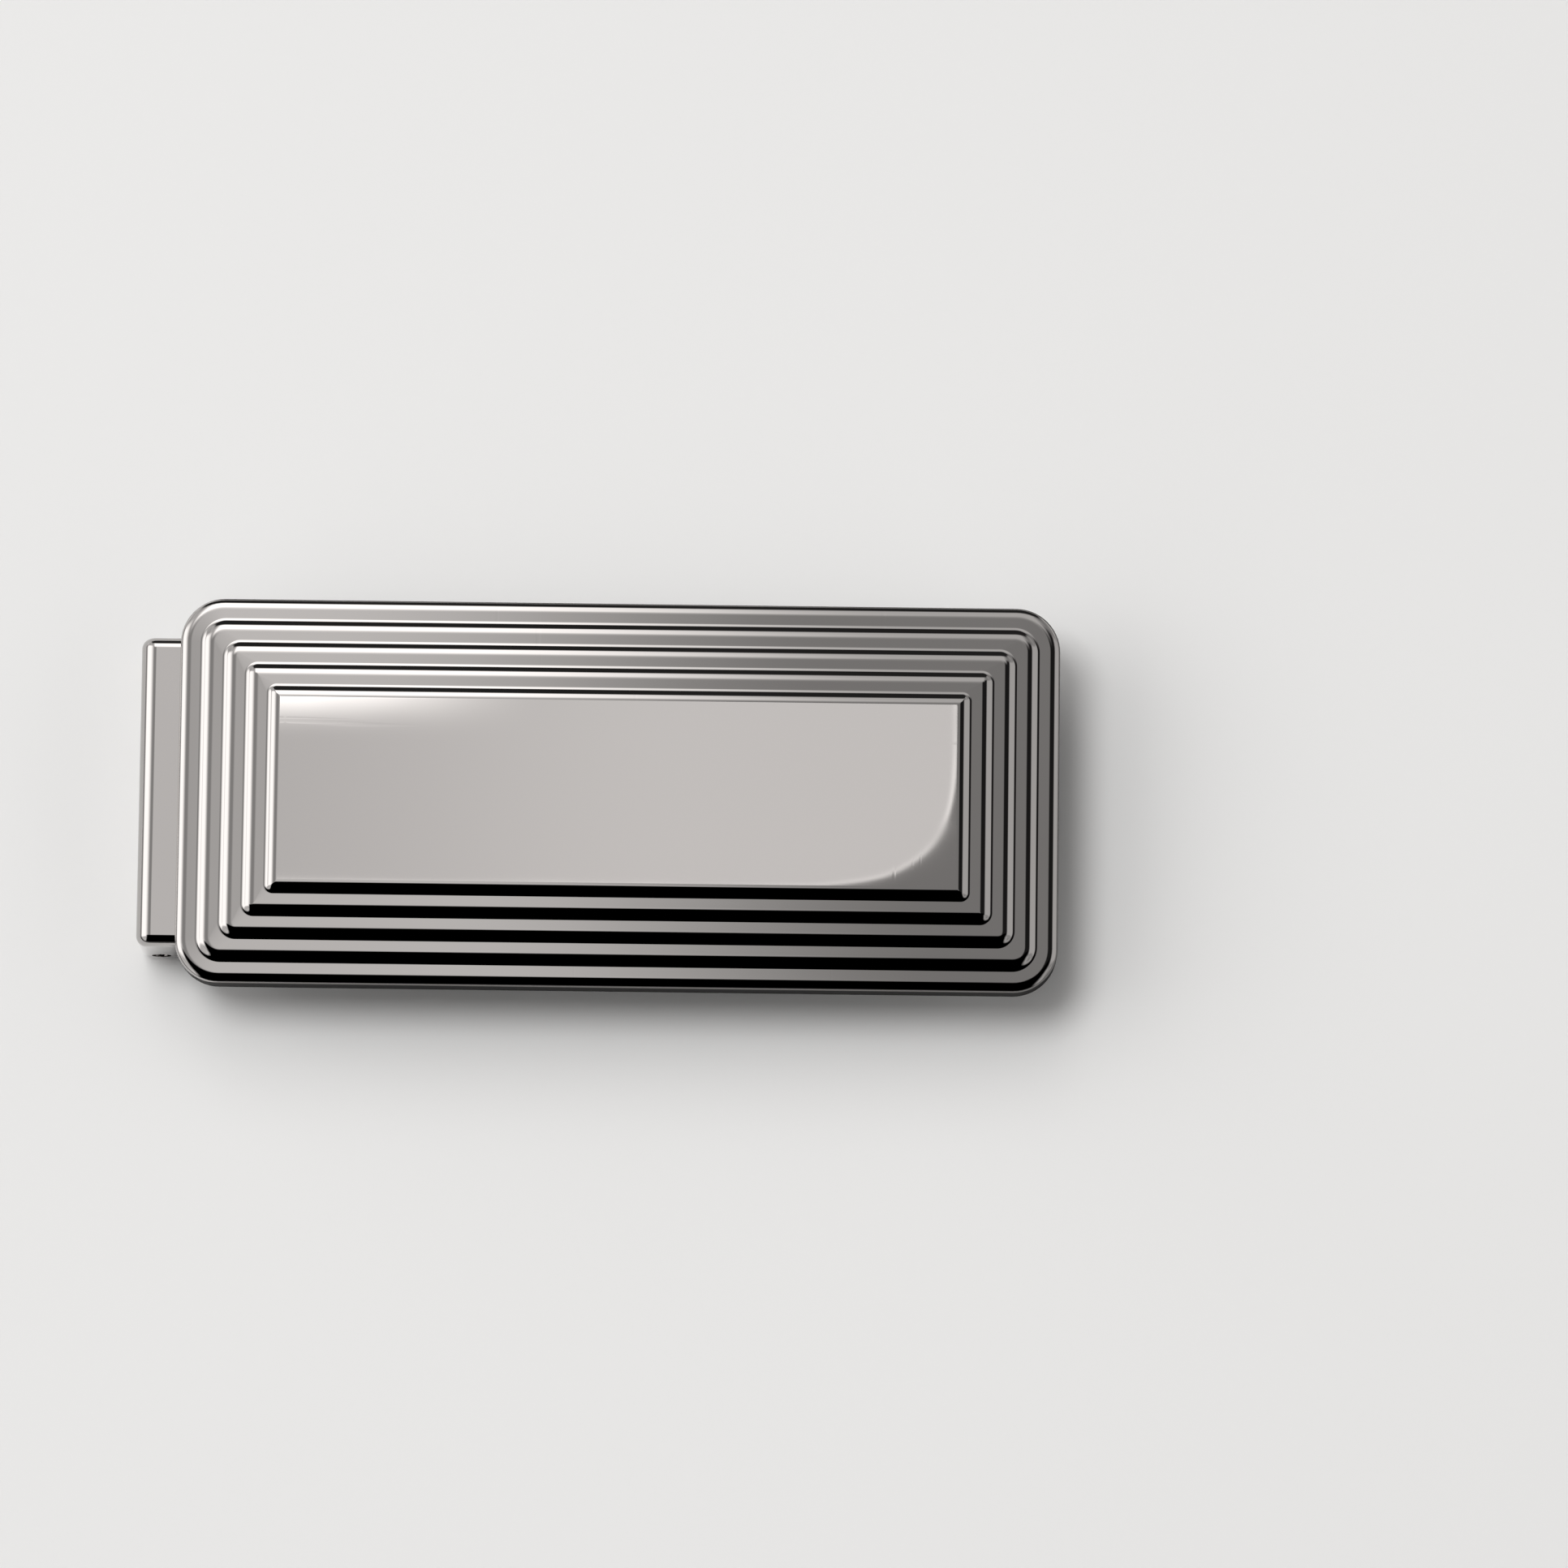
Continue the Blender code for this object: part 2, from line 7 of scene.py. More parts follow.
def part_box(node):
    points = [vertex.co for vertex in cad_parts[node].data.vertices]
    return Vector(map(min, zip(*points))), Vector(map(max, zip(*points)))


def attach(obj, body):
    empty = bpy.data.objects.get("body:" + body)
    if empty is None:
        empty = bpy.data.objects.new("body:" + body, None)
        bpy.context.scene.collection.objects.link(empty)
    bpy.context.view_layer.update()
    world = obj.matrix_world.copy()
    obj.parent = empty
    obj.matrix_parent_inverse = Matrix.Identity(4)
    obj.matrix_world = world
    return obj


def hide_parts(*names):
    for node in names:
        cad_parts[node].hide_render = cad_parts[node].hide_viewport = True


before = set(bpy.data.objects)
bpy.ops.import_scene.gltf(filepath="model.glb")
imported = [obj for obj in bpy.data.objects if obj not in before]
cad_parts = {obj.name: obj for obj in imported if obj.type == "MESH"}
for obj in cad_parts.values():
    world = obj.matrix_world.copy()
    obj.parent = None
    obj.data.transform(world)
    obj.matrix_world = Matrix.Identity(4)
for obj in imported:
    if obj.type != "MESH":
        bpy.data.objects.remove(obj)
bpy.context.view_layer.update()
mm = 0.001
studio = bpy.context.scene


# small helpers for node trees
def addNode(tree, kind, inputs=None, **settings):
    node = tree.nodes.new(kind)
    for name, value in settings.items():
        setattr(node, name, value)
    for key, source in (inputs or {}).items():
        if isinstance(key, str):  # several sockets can share a name, only one is switched on
            socket = next(s for s in node.inputs if s.name == key and s.enabled)
        else:
            socket = node.inputs[key]
        if isinstance(source, bpy.types.NodeSocket):
            tree.links.new(source, socket)
        else:
            socket.default_value = source
    return node


def outOf(node, name=None):
    return next(s for s in node.outputs if s.enabled and (name is None or s.name == name))


def calc(tree, operation, first, second=0.0, third=0.0):
    values = {0: first, 1: second, 2: third}
    kind = "ShaderNodeMath"
    return outOf(addNode(tree, kind, values, operation=operation))


def ramp(tree, value, start, end, low=0.0, high=1.0):
    node = addNode(tree, "ShaderNodeMapRange", {"Value": value, "From Min": start,
        "From Max": end, "To Min": low, "To Max": high}, interpolation_type="SMOOTHSTEP")
    return outOf(node)


def newGroup(name, sockets):
    tree = bpy.data.node_groups.new(name, "GeometryNodeTree")
    made = {}
    tree.interface.new_socket("Geometry", in_out="INPUT", socket_type="NodeSocketGeometry")
    for label, kind in sockets:
        made[label] = tree.interface.new_socket(label, in_out="INPUT", socket_type=f"NodeSocket{kind}")
    tree.interface.new_socket("Geometry", in_out="OUTPUT", socket_type="NodeSocketGeometry")
    return tree, made


def endGroup(tree, given, geometry):
    real = addNode(tree, "GeometryNodeRealizeInstances", {"Geometry": geometry})
    material = given.outputs["Material"]
    coated = addNode(tree, "GeometryNodeSetMaterial", {"Geometry": outOf(real), "Material": material})
    done = tree.nodes.new("NodeGroupOutput")
    tree.links.new(outOf(coated), done.inputs["Geometry"])


def runGroup(obj, tree, sockets, values):
    # the tree's result as a plain mesh on its own object
    modifier = obj.modifiers.new(tree.name, "NODES")
    modifier.node_group = tree
    for label, value in values.items():
        modifier[sockets[label].identifier] = value
    return plainMesh(obj)


def plainMesh(obj):
    graph = bpy.context.evaluated_depsgraph_get()
    graph.update()
    mesh = bpy.data.meshes.new_from_object(obj.evaluated_get(graph))
    mesh.name = obj.name
    obj.modifiers.clear()
    obj.data = mesh
    return obj


# small helpers for meshes
def newPiece(name, mesh=None):
    obj = bpy.data.objects.new(name, mesh or bpy.data.meshes.new(name))
    studio.collection.objects.link(obj)
    return obj


def roundedRows(low, high, radius, steps, support=0.0):
    # (inset, y) of each row across a piece whose two side faces are rounded over
    half = []
    for step in range(steps + 1):
        a = pi / 2 * step / steps
        half.append((radius * (1 - sin(a)), radius * (1 - cos(a))))
    if support:
        half.insert(0, (radius + support, 0.0))
        half.append((0.0, radius + support))
    near = [(inset, low + depth) for inset, depth in half]
    return near + [(inset, high - depth) for inset, depth in reversed(half)]


def sweepAcross(name, outline, rows):
    # an outline in the XZ plane, inset row by row along Y
    return newPiece(name, loft(name, [[(x, y, z) for x, z in outline(inset)] for inset, y in rows]))


def lowHigh(node):
    low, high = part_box(node)
    return low, high, (low + high) / 2


def arc(center, radius, start, end, steps):
    angles = [radians(start + (end - start) * step / steps) for step in range(steps + 1)]
    return [(center[0] + radius * cos(a), center[1] + radius * sin(a)) for a in angles]


def loft(name, rows):
    # rows of points, each row a closed ring with the same count
    count = len(rows[0])
    faces = [(r * count + i, r * count + (i + 1) % count, (r + 1) * count + (i + 1) % count,
        (r + 1) * count + i) for r in range(len(rows) - 1) for i in range(count)]
    last = (len(rows) - 1) * count
    faces += [tuple(range(count)), tuple(range(last, last + count))]
    mesh = bpy.data.meshes.new(name)
    mesh.from_pydata([point for row in rows for point in row], [], faces)
    return mesh


def tidyMesh(obj, sharpAngle=32, merge=1e-7):
    bm = bmesh.new()
    bm.from_mesh(obj.data)
    bmesh.ops.remove_doubles(bm, verts=bm.verts, dist=merge)
    bmesh.ops.dissolve_degenerate(bm, edges=bm.edges, dist=merge)
    bmesh.ops.recalc_face_normals(bm, faces=bm.faces)
    if bm.calc_volume(signed=True) < 0:
        bmesh.ops.reverse_faces(bm, faces=bm.faces)
    openEdges = sum(1 for edge in bm.edges if len(edge.link_faces) != 2)
    bm.to_mesh(obj.data)
    bm.free()
    obj.data.shade_smooth()
    obj.data.set_sharp_from_angle(angle=radians(sharpAngle))
    print(f"  {obj.name}: {len(obj.data.polygons)} faces, {openEdges} open edges")
    return obj


def cylinderMesh(name, center, radius, low, high, axis="Z", sides=48):
    bm = bmesh.new()
    bmesh.ops.create_cone(bm, cap_ends=True, segments=sides, radius1=radius, radius2=radius, depth=high - low)
    middle = (low + high) / 2
    if axis == "Y":
        bmesh.ops.rotate(bm, verts=bm.verts, matrix=Matrix.Rotation(pi / 2, 3, "X"))
        place = (center[0], middle, center[1])
    else:
        place = (center[0], center[1], middle)
    bmesh.ops.translate(bm, verts=bm.verts, vec=place)
    mesh = bpy.data.meshes.new(name)
    bm.to_mesh(mesh)
    bm.free()
    return mesh


def boxMesh(name, low, high):
    corners = [(x, y, z) for z in (low[2], high[2]) for x, y in
        ((low[0], low[1]), (high[0], low[1]), (high[0], high[1]), (low[0], high[1]))]
    return loft(name, [corners[:4], corners[4:]])


def together(name, meshes):
    bm = bmesh.new()
    for mesh in meshes:
        bm.from_mesh(mesh)
    bmesh.ops.recalc_face_normals(bm, faces=bm.faces)
    joined = bpy.data.meshes.new(name)
    bm.to_mesh(joined)
    bm.free()
    return joined


def carve(obj, mesh, operation="DIFFERENCE"):
    helper = newPiece("carver", mesh)
    tidyHelper = bmesh.new()
    tidyHelper.from_mesh(mesh)
    bmesh.ops.recalc_face_normals(tidyHelper, faces=tidyHelper.faces)
    tidyHelper.to_mesh(mesh)
    tidyHelper.free()
    modifier = obj.modifiers.new("carve", "BOOLEAN")
    modifier.operation = operation
    modifier.solver = "EXACT"
    modifier.object = helper
    plainMesh(obj)
    bpy.data.objects.remove(helper)


def finishPiece(obj, body, slotName, material, *nodes):
    obj.data.materials.clear()
    obj.data.materials.append(material)
    for polygon in obj.data.polygons:
        polygon.material_index = 0
    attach(obj, body)
    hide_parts(*nodes)
    return obj


# finishes
def newFinish(name, color, roughness):
    material = bpy.data.materials.new(name)
    material.use_nodes = True
    tree = material.node_tree
    shader = tree.nodes["Principled BSDF"]
    shader.inputs["Metallic"].default_value = 1.0
    shader.inputs["Roughness"].default_value = roughness
    shader.inputs["Base Color"].default_value = (*color, 1)
    place = outOf(addNode(tree, "ShaderNodeTexCoord"), "Object")
    return material, tree, shader, place


def noise(tree, place, scale, detail=2.0, stretch=(1, 1, 1), turn=0.0, roughness=0.5):
    spread = addNode(tree, "ShaderNodeMapping", {"Vector": place, "Scale": stretch,
        "Rotation": (0, 0, radians(turn))})
    return outOf(addNode(tree, "ShaderNodeTexNoise", {"Vector": outOf(spread), "Scale": scale,
        "Detail": detail, "Roughness": roughness}))


def mixColor(tree, share, first, second):
    node = addNode(tree, "ShaderNodeMix", {"Factor": share}, data_type="RGBA")
    for socket, value in ((node.inputs[6], first), (node.inputs[7], second)):
        if isinstance(value, bpy.types.NodeSocket):
            tree.links.new(value, socket)
        else:
            socket.default_value = (*value, 1)
    return node.outputs[2]


gunmetal = dict(color=(0.445, 0.430, 0.421), deep=(0.438, 0.423, 0.414),
    roughness=0.016, hazeRoughness=0.028, hairlineScale=900)


def makeGunmetal():
    # high polish: slow drift in tone, a faint haze from wiping, crossed hairlines
    material, tree, shader, place = newFinish("polishedGunmetal", gunmetal["color"], gunmetal["roughness"])
    drift = noise(tree, place, 28, 1.0)
    tone = mixColor(tree, ramp(tree, drift, 0.2, 0.8), gunmetal["deep"], gunmetal["color"])
    tree.links.new(tone, shader.inputs["Base Color"])
    haze = noise(tree, place, 70, 2.0, (1, 2.4, 1), 24)
    fine = noise(tree, place, gunmetal["hairlineScale"], 2.0, (0.04, 1.6, 1), 17)
    cloudy = ramp(tree, haze, 0.4, 0.75, gunmetal["roughness"], gunmetal["hazeRoughness"])
    hairlines = ramp(tree, fine, 0.66, 0.74, 0.0, 0.012)
    tree.links.new(calc(tree, "ADD", cloudy, hairlines), shader.inputs["Roughness"])
    crossed = noise(tree, place, gunmetal["hairlineScale"], 2.0, (1.5, 0.05, 1), -31)
    lines = calc(tree, "MAXIMUM", ramp(tree, fine, 0.66, 0.76), ramp(tree, crossed, 0.68, 0.78))
    swell = noise(tree, place, 220, 1.0)
    height = calc(tree, "ADD", calc(tree, "MULTIPLY", lines, -0.15), swell)
    bump = addNode(tree, "ShaderNodeBump", {"Height": height, "Strength": 0.012, "Distance": 0.00005})
    tree.links.new(outOf(bump), shader.inputs["Normal"])
    return material


def makeBrushed(name, color, dark, roughness, grainScale, stretch, strength):
    # drawn or lapped sheet: grain along the sheet, uneven roughness, a few darker streaks
    material, tree, shader, place = newFinish(name, color, roughness)
    grain = noise(tree, place, grainScale, 4.0, stretch)
    streak = noise(tree, place, grainScale / 4, 2.0, stretch)
    cloud = noise(tree, place, 90, 3.0)
    share = calc(tree, "MULTIPLY", ramp(tree, streak, 0.45, 0.75), ramp(tree, cloud, 0.3, 0.7, 0.3, 0.9))
    tree.links.new(mixColor(tree, share, color, dark), shader.inputs["Base Color"])
    uneven = ramp(tree, grain, 0.25, 0.75, roughness * 0.8, roughness * 1.3)
    tree.links.new(uneven, shader.inputs["Roughness"])
    bump = addNode(tree, "ShaderNodeBump", {"Height": grain, "Strength": strength, "Distance": 0.00003})
    tree.links.new(outOf(bump), shader.inputs["Normal"])
    return material


print("finishes")
polished = makeGunmetal()
satin = makeBrushed("satinSteel", color=(0.44, 0.425, 0.415), dark=(0.34, 0.33, 0.32),
    roughness=0.24, grainScale=2600, stretch=(0.03, 1, 1), strength=0.25)
springSteel = makeBrushed("springSteel", color=(0.50, 0.49, 0.48), dark=(0.40, 0.385, 0.37),
    roughness=0.17, grainScale=3200, stretch=(0.05, 1, 1), strength=0.15)
rivetSteel = makeBrushed("rivetSteel", color=(0.56, 0.55, 0.53), dark=(0.44, 0.43, 0.41),
    roughness=0.22, grainScale=3600, stretch=(1, 1, 1), strength=0.2)
brass = makeBrushed("washerBrass", color=(0.70, 0.52, 0.24), dark=(0.55, 0.38, 0.16),
    roughness=0.25, grainScale=3000, stretch=(1, 1, 1), strength=0.2)


# the gap round every rivet and pin, and the four forms of rivet
clearance = 0.05 * mm
rivets = dict(seed=4, sides=40,
    backRivet=dict(shank=0.50 * mm, head=0.25 * mm, twoHeads=False),
    footRivet=dict(shank=0.60 * mm, head=0.30 * mm, twoHeads=True),
    housingRivet=dict(shank=0.55 * mm, head=0.30 * mm, twoHeads=False),
    springRivet=dict(shank=0.45 * mm, head=0.22 * mm, twoHeads=False))

# face plate: one profile carried round a rounded rectangle
facePlate = dict(tiers=5, tierWidth=1.48 * mm, tierRise=0.30 * mm, wall=1.1 * mm, roof=6.9 * mm,
    firstCorner=2.9 * mm, corners=(2.9 * mm, 1.5 * mm, 1.0 * mm, 0.68 * mm, 0.46 * mm), leastCorner=0.05 * mm,
    hollowRun=0.30 * mm, crownRun=0.62 * mm, crownEase=1.7, steepAt=0.15 * mm, draft=1.5,
    edgeRadius=0.35 * mm, backEdge=0.12 * mm, support=0.03 * mm, arcSteps=12, cornerSteps=14,
    mergeDistance=2e-8, bossWall=0.9 * mm, overlap=0.2 * mm)


def riserSteps(steep, topSlope):
    # run and rise of each short step up a riser: a round hollow, then a crown that eases into the tread
    v = facePlate
    draft = radians(v["draft"])
    count = v["arcSteps"]
    steps = []
    for step in range(count):
        share = (step + 0.5) / count
        steps.append((v["hollowRun"] / count, tan(draft + (steep - draft) * share)))
    for step in range(count):
        share = 1 - (step + 0.5) / count
        steps.append((v["crownRun"] / count, tan(topSlope + (steep - topSlope) * share ** v["crownEase"])))
    return [(run, run * slope) for run, slope in steps]


def steepFor(rise, topSlope):
    low, high = 0.1, 1.3
    for _ in range(40):
        middle = (low + high) / 2
        if sum(climb for run, climb in riserSteps(middle, topSlope)) < rise:
            low = middle
        else:
            high = middle
    return middle


def plateProfile():
    # (inset from the plate's outline, corner radius there, height), from inside the hollow round to the panel
    v = facePlate
    low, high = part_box("face_plate")
    half = (high.y - low.y) / 2
    draft = radians(v["draft"])
    rise = v["tierRise"]
    outerTop = high.z - (v["tiers"] - 1) * rise
    rows = []

    def add(inset, height, corner=None):
        rows.append((inset, v["firstCorner"] - inset if corner is None else corner, height))

    def turn(center, radius, start, end, steps=v["arcSteps"]):
        # arc in the section, which may face inwards or outwards
        for inset, height in arc(center, radius, start, end, steps):
            add(inset, height)

    fillet, edge = v["backEdge"] * 3, v["backEdge"]
    add(half, v["roof"], 0)
    add(v["wall"] + fillet + v["support"], v["roof"])
    turn((v["wall"] + fillet, v["roof"] - fillet), fillet, 90, 180)
    add(v["wall"], low.z + edge + v["support"])
    turn((v["wall"] - edge, low.z + edge), edge, 0, -90)
    turn((edge, low.z + edge), edge, 270, 180)
    add(0, low.z + edge + v["support"])
    # the outline's own edge: upright, round, then the same easing crown as the risers
    steep = steepFor(rise, draft)
    crown = riserSteps(steep, draft)[v["arcSteps"]:]
    bend = v["edgeRadius"]
    crownLow = outerTop - sum(climb for run, climb in crown)
    add(0, crownLow - bend * cos(steep) - v["support"])
    for step in range(v["arcSteps"] + 1):
        a = (pi / 2 - steep) * step / v["arcSteps"]
        add(bend * (1 - cos(a)), crownLow - bend * cos(steep) + bend * sin(a))
    for run, climb in crown:
        inset, corner, height = rows[-1]
        add(inset + run, height + climb)
    # treads and risers
    for tier in range(1, v["tiers"]):
        inset, corner, height = rows[-1]
        line = tier * v["tierWidth"]
        foot = line + v["steepAt"] - v["hollowRun"]
        topSlope = 0 if tier == v["tiers"] - 1 else draft
        treadClimb = (foot - inset) * tan(draft)
        steep = steepFor(rise - treadClimb, topSlope)
        cornerAt = v["corners"][tier]
        add(inset + v["support"], height + v["support"] * tan(draft), corner)
        add(foot - v["support"], height + treadClimb - v["support"] * tan(draft), cornerAt + line - foot)
        add(foot, height + treadClimb, cornerAt + line - foot)
        for run, climb in riserSteps(steep, topSlope):
            inset, corner, height = rows[-1]
            add(inset + run, height + climb, max(cornerAt + line - inset - run, v["leastCorner"]))
    inset, corner, height = rows[-1]
    add(inset + v["support"], height, corner)
    add(half, height, 0)
    return rows


def outlineSweepTree():
    tree, sockets = newGroup("outlineSweep", (("Length", "Float"), ("Width", "Float"), ("Middle", "Vector"),
        ("Corner Steps", "Int"), ("Merge Distance", "Float"), ("Material", "Material")))
    given = tree.nodes.new("NodeGroupInput")
    profilePoints = given.outputs["Geometry"]
    size = addNode(tree, "GeometryNodeAttributeDomainSize", {"Geometry": profilePoints}, component="MESH")
    rows = size.outputs["Point Count"]

    def whole(operation, first, second):
        return outOf(addNode(tree, "FunctionNodeIntegerMath", {0: first, 1: second}, operation=operation))

    perCorner = whole("ADD", given.outputs["Corner Steps"], 1)
    around = whole("ADD", whole("MULTIPLY", perCorner, 4), 1)
    grid = addNode(tree, "GeometryNodeMeshGrid", {"Vertices X": around, "Vertices Y": rows})
    index = outOf(addNode(tree, "GeometryNodeInputIndex"))
    row = whole("MODULO", index, rows)
    column = whole("DIVIDE_FLOOR", index, rows)
    quadrant = whole("DIVIDE_FLOOR", column, perCorner)
    part = calc(tree, "DIVIDE", whole("MODULO", column, perCorner), given.outputs["Corner Steps"])
    angle = calc(tree, "MULTIPLY", calc(tree, "ADD", quadrant, part), pi / 2)
    diagonal = calc(tree, "MULTIPLY_ADD", quadrant, pi / 2, pi / 4)
    place = addNode(tree, "GeometryNodeInputPosition")
    sample = addNode(tree, "GeometryNodeSampleIndex", {"Geometry": profilePoints},
        data_type="FLOAT_VECTOR", domain="POINT")
    tree.links.new(outOf(place), next(s for s in sample.inputs if s.name == "Value" and s.enabled))
    tree.links.new(row, sample.inputs["Index"])
    profile = addNode(tree, "ShaderNodeSeparateXYZ", {0: outOf(sample)})
    inset, corner, height = profile.outputs
    middle = addNode(tree, "ShaderNodeSeparateXYZ", {0: given.outputs["Middle"]})
    spots = []
    for extent, turn, offset in ((given.outputs["Length"], "COSINE", middle.outputs[0]),
            (given.outputs["Width"], "SINE", middle.outputs[1])):
        taken = calc(tree, "MULTIPLY", calc(tree, "ADD", inset, corner), -1.0)
        half = calc(tree, "MULTIPLY_ADD", extent, 0.5, taken)
        side = calc(tree, "SIGN", calc(tree, turn, diagonal))
        swung = calc(tree, "MULTIPLY_ADD", corner, calc(tree, turn, angle), offset)
        spots.append(calc(tree, "MULTIPLY_ADD", half, side, swung))
    point = addNode(tree, "ShaderNodeCombineXYZ", {0: spots[0], 1: spots[1], 2: height})
    moved = addNode(tree, "GeometryNodeSetPosition", {"Geometry": outOf(grid), "Position": outOf(point)})
    merged = addNode(tree, "GeometryNodeMergeByDistance", {"Geometry": outOf(moved),
        "Distance": given.outputs["Merge Distance"]})
    endGroup(tree, given, outOf(merged))
    return tree, sockets


def rivetPlaces(stem, count):
    found = []
    for number in range(1, count + 1):
        low, high, middle = lowHigh(f"{stem}_{number}")
        found.append((middle.x, middle.y, low.z, high.z, (high.x - low.x) / 2))
    return found


def rivetHole(kind, place, low, high, sides=32):
    return cylinderMesh("hole", place, rivets[kind]["shank"] + clearance, low, high, sides=sides)


def makeFacePlate():
    v = facePlate
    low, high, middle = lowHigh("face_plate")
    plate = newPiece("facePlate")
    plate.data.from_pydata(plateProfile(), [], [])
    tree, sockets = outlineSweepTree()
    runGroup(plate, tree, sockets, {"Length": high.x - low.x, "Width": high.y - low.y,
        "Middle": (middle.x, middle.y, 0.0), "Corner Steps": v["cornerSteps"],
        "Merge Distance": v["mergeDistance"], "Material": polished})
    tidyMesh(plate)
    # bosses and a pad for the rivets, under the roof of the hollow
    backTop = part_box("back_plate")[1].z + clearance
    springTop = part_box("spring_rivet_1")[0].z + rivets["springRivet"]["head"] + 7 * clearance
    rooted = v["roof"] + v["overlap"]
    bossRadius = rivets["backRivet"]["shank"] + v["bossWall"]
    bosses = [cylinderMesh("boss", place, bossRadius, backTop, rooted)
        for place in rivetPlaces("back_plate_rivet", 4)]
    pads = rivetPlaces("spring_rivet", 2)
    reach = rivets["springRivet"]["shank"] + v["bossWall"]
    bosses.append(boxMesh("pad", (pads[0][0] - reach, min(p[1] for p in pads) - reach, springTop),
        (pads[0][0] + reach, max(p[1] for p in pads) + reach, rooted)))
    carve(plate, together("bosses", bosses), "UNION")
    holes = []
    for kind, stem, count in (("backRivet", "back_plate_rivet", 4), ("housingRivet", "housing_rivet", 2),
            ("springRivet", "spring_rivet", 2)):
        for place in rivetPlaces(stem, count):
            holes.append(rivetHole(kind, place, low.z - 1 * mm, place[3] + clearance))
    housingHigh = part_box("hinge_housing")[1]
    notchHalf = housingHigh.y + clearance
    holes.append(boxMesh("notch", (low.x - 1 * mm, -notchHalf, low.z - 1 * mm),
        (low.x + 2 * v["wall"], notchHalf, housingHigh.z + 0.9 * clearance)))
    carve(plate, together("holes", holes))
    tidyMesh(plate)
    return finishPiece(plate, "front", "polished_gunmetal", polished, "face_plate")


# hinge housing: side outline drawn in by the rounding of its two cheeks
housing = dict(sideRound=0.72 * mm, frontCorner=1.0 * mm, lobe=1.45 * mm, cheekReach=8.1 * mm, cheek=1.0 * mm,
    sheet=0.6 * mm, endWall=0.85 * mm, wallBottom=3.2 * mm, bore=0.65 * mm,
    flangeLap=1.2 * mm, arcSteps=20, support=0.03 * mm)


def housingOutline(inset):
    v = housing
    low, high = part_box("hinge_housing")
    pin = lowHigh("hinge_pin")[2]
    back = low.x + v["cheekReach"]
    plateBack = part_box("face_plate")[0].z
    reach = (back - pin.x, plateBack - pin.z)
    lean = atan2(reach[1], reach[0]) - pi / 2 + asin(v["lobe"] / hypot(*reach))
    lobe = arc((pin.x, pin.z), v["lobe"] - inset, 180, 360 + degrees(lean), v["arcSteps"])
    end = lobe[-1]
    along = (back - inset - end[0]) / cos(lean + pi / 2)
    corner = (low.x + v["frontCorner"], high.z - v["frontCorner"])
    front = arc(corner, v["frontCorner"] - inset, 90, 180, v["arcSteps"])
    rear = end[1] + along * sin(lean + pi / 2)
    beside = v["support"]
    return [*lobe, (back - inset, rear), (back - inset, high.z - inset), (front[0][0] + beside, front[0][1]),
        *front, (front[-1][0], front[-1][1] - beside), (lobe[0][0], lobe[0][1] + beside)]


def makeHousing():
    v = housing
    low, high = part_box("hinge_housing")
    pin = lowHigh("hinge_pin")[2]
    rows = roundedRows(low.y, high.y, v["sideRound"], v["arcSteps"], v["support"])
    piece = sweepAcross("hingeHousing", housingOutline, rows)
    tidyMesh(piece)
    roof = high.z - v["sheet"]
    flangeFrom = (low.x + v["cheekReach"] - v["flangeLap"], low.y + v["sideRound"], roof + clearance / 10)
    flangeTo = (high.x, high.y - v["sideRound"], high.z - clearance / 10)
    flange = boxMesh("flange", flangeFrom, flangeTo)
    carve(piece, flange, "UNION")
    out = low.x - 1 * mm
    back = low.x + v["cheekReach"] + 1 * mm
    gap = high.y - v["cheek"]
    inner = low.x + v["endWall"]
    inside = [(out, -1 * mm), (back, -1 * mm), (back, roof), (inner, roof),
        (inner, v["wallBottom"]), (out, v["wallBottom"])]
    carve(piece, loft("inside", [[(x, y, z) for x, z in inside] for y in (-gap, gap)]))
    holes = [cylinderMesh("bore", (pin.x, pin.z), v["bore"], low.y - 1 * mm, high.y + 1 * mm, "Y")]
    holes += [rivetHole("housingRivet", place, roof - 1 * mm, high.z + 1 * mm)
        for place in rivetPlaces("housing_rivet", 2)]
    carve(piece, together("holes", holes))
    tidyMesh(piece)
    return finishPiece(piece, "front", "polished_gunmetal", polished, "hinge_housing")


# hinge pin: turned about Y, ends slightly crowned
hingePin = dict(chamfer=0.10 * mm, crown=0.05 * mm, crownSteps=6, sides=56)


def lathe(name, profile, sides, axis="Z", center=(0, 0, 0)):
    rows = []
    for radius, height in profile:
        ring = []
        for side in range(sides):
            a = 2 * pi * side / sides
            across = (radius * cos(a), radius * sin(a))
            point = (across[0], across[1], height) if axis == "Z" else (across[0], height, across[1])
            ring.append(tuple(p + c for p, c in zip(point, center)))
        rows.append(ring)
    return loft(name, rows)


def makePin():
    v = hingePin
    low, high, middle = lowHigh("hinge_pin")
    radius = (high.x - low.x) / 2
    half = (high.y - low.y) / 2
    end = []
    for step in range(v["crownSteps"] + 1):
        share = step / v["crownSteps"]
        end.append((radius * 0.04 + (radius * 0.96 - v["chamfer"]) * share, half - v["crown"] * share ** 2))
    # the chamfer bulges a little, then a row just past it holds the shading
    edge = half - v["crown"]
    end += [(radius - v["chamfer"] * 0.3, edge - v["chamfer"] * 0.4), (radius, edge - v["chamfer"])]
    end.append((radius, edge - v["chamfer"] * 1.6))
    profile = [(r, -y) for r, y in end] + [(r, y) for r, y in reversed(end)]
    piece = newPiece("hingePin", lathe("hingePin", profile, v["sides"], "Y", (middle.x, middle.y, middle.z)))
    tidyMesh(piece)
    return finishPiece(piece, "front", "spring_steel", springSteel, "hinge_pin")


